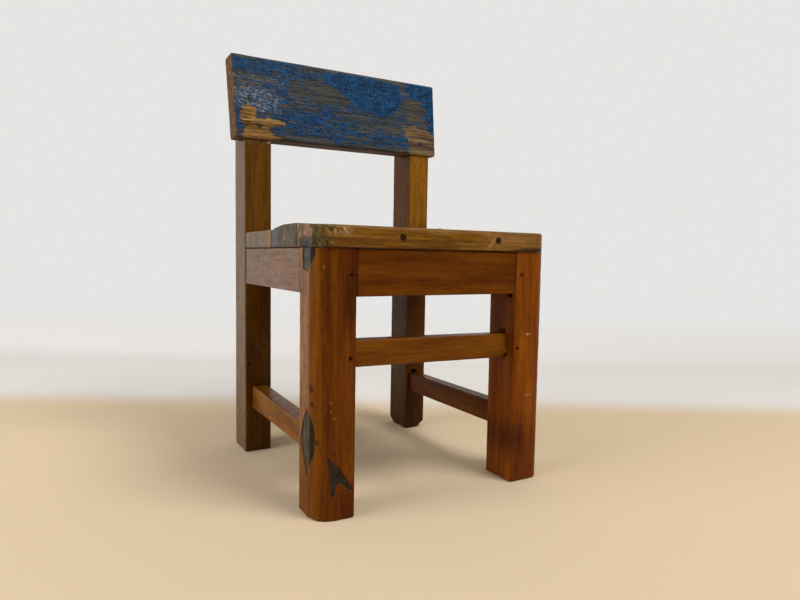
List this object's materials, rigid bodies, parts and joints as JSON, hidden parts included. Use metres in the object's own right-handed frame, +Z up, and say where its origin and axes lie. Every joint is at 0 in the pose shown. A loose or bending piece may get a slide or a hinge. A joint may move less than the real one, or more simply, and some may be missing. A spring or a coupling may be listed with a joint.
{
  "type": "peeling paint chair",
  "caption": "Small child's chair of varnished reclaimed timber, with pegged rails, a plank seat and a thick backrest board that keeps its old flaking blue paint.",
  "frame": {"origin": "on the floor, under the middle of the chair's overall box", "axes": "+X from the chair's left leg to its right leg as seen from the front, +Y to the back, +Z up"},
  "size_m": [0.314, 0.3064, 0.5301],
  "materials": {
    "leg_timber": "satin varnish over worn orange-brown timber",
    "post_timber": "satin varnish over golden brown timber, dark towards the feet",
    "rail_timber": "satin varnish over red-brown timber",
    "side_apron_timber": "satin varnish over pinkish tan timber",
    "seat_timber": "satin varnish over worn timber with remains of old paint",
    "painted_timber": "cracked, flaking blue paint over weathered brown timber",
    "peg_timber": "dark end grain",
    "nail_iron": "dull dark iron"
  },
  "bodies": {
    "root": {"front_left_leg": "leg_timber", "front_right_leg": "leg_timber", "rear_left_post": "post_timber", "rear_right_post": "post_timber", "front_apron": "rail_timber", "rear_apron": "rail_timber", "left_apron": "side_apron_timber", "right_apron": "side_apron_timber", "front_stretcher": "rail_timber", "left_stretcher": "rail_timber", "right_stretcher": "rail_timber", "seat_front_plank": "seat_timber", "seat_middle_plank": "seat_timber", "seat_rear_plank": "seat_timber", "backrest_board": "painted_timber", "apron_pegs": "peg_timber", "stretcher_pegs": "peg_timber", "seat_treenails": "peg_timber", "seat_nails": "nail_iron", "backrest_nails": "nail_iron"}
  },
  "joints": []
}
